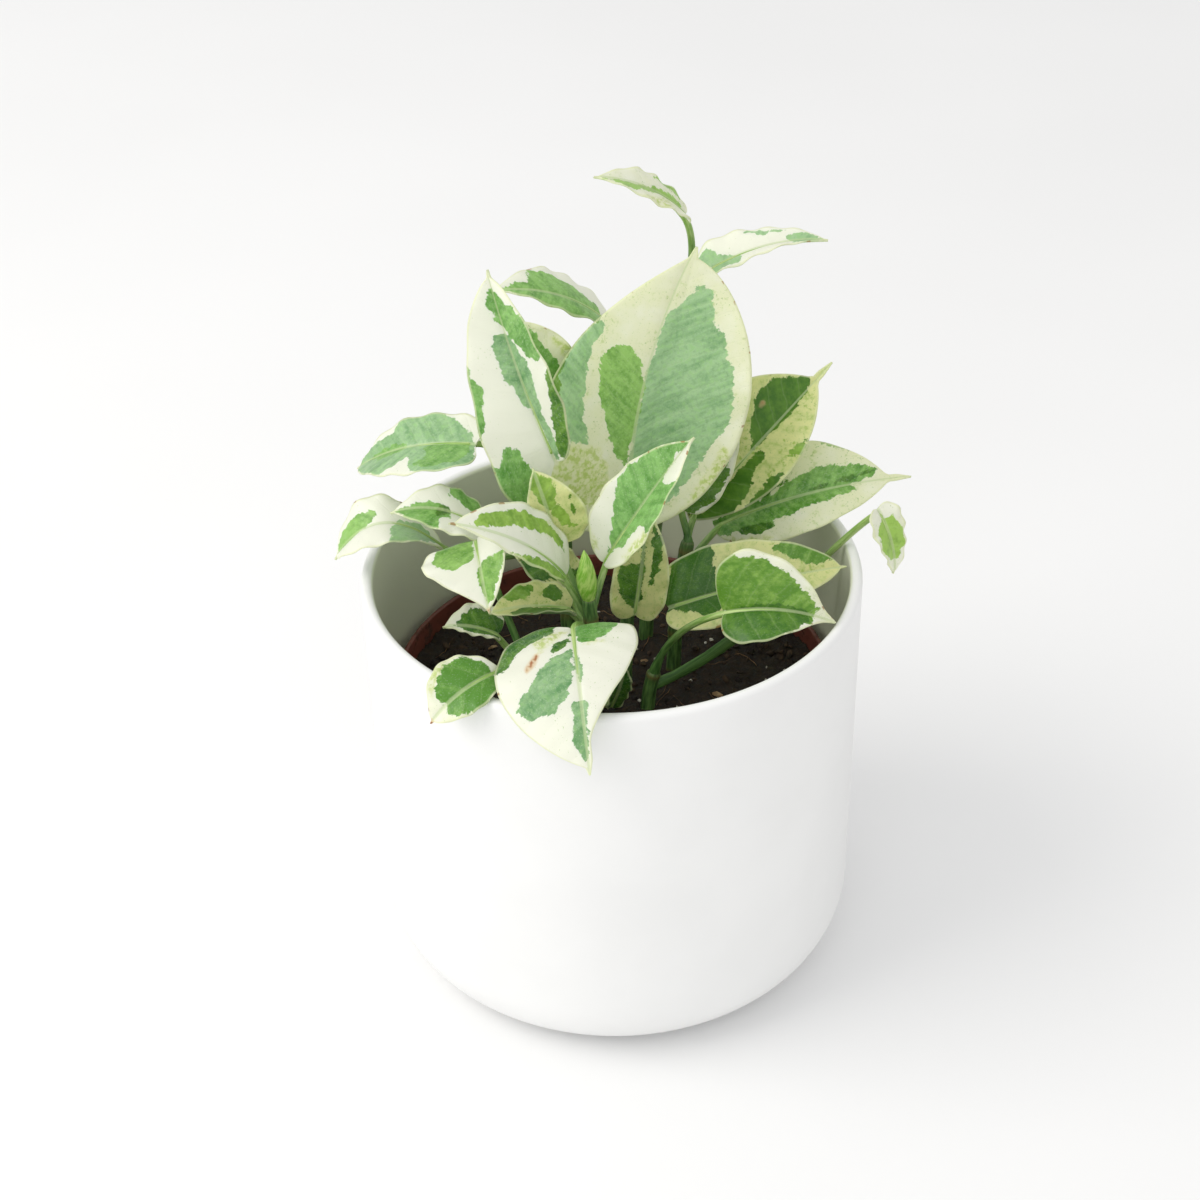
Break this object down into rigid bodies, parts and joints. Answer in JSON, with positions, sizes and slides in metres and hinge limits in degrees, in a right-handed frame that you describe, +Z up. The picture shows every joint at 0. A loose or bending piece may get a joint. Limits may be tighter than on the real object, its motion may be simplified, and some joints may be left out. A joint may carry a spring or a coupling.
{
  "type": "potted pothos plant",
  "caption": "Variegated pothos plant in a grower's pot that stands inside a plain white cylindrical cover pot with a rounded foot.",
  "frame": {"origin": "centre of the cover pot's flat underside, on the surface that it stands on", "axes": "+Z up through the pot's centre, -Y towards the plant's showing side, +X to the right seen from there"},
  "size_m": [0.158, 0.1474, 0.2242],
  "materials": {
    "ceramic": "matt white, smooth",
    "plastic": "moulded terracotta-coloured plastic",
    "soil": null,
    "stem": null,
    "leaf": null
  },
  "bodies": {
    "root": {"cover_pot": "ceramic", "growers_pot": "plastic", "soil": "soil", "stem_centre": "stem", "stem_back": "stem", "stem_left": "stem", "stem_front": "stem", "stem_right": "stem", "stem_front_right": "stem", "stem_left_front": "stem", "leaf_tall_centre": "leaf", "leaf_tall_left": "leaf", "leaf_back_left": "leaf", "leaf_back_inner": "leaf", "leaf_centre_small": "leaf", "leaf_centre_left": "leaf", "leaf_left_folded": "leaf", "leaf_left_olive": "leaf", "leaf_front_drooping": "leaf", "leaf_front_left": "leaf", "leaf_left_small": "leaf", "leaf_centre_inner": "leaf", "leaf_right_upper": "leaf", "leaf_right_long": "leaf", "leaf_right_hanging": "leaf", "leaf_right_low": "leaf", "leaf_right_front": "leaf", "leaf_left_upper": "leaf", "leaf_left_low": "leaf", "leaf_left_arched": "leaf", "leaf_left_shaded": "leaf", "leaf_left_pointed": "leaf", "leaf_right_shaded": "leaf", "sheath_front": "leaf", "leaf_top_left": "leaf", "leaf_top_right": "leaf", "leaf_spear": "leaf"}
  },
  "joints": []
}
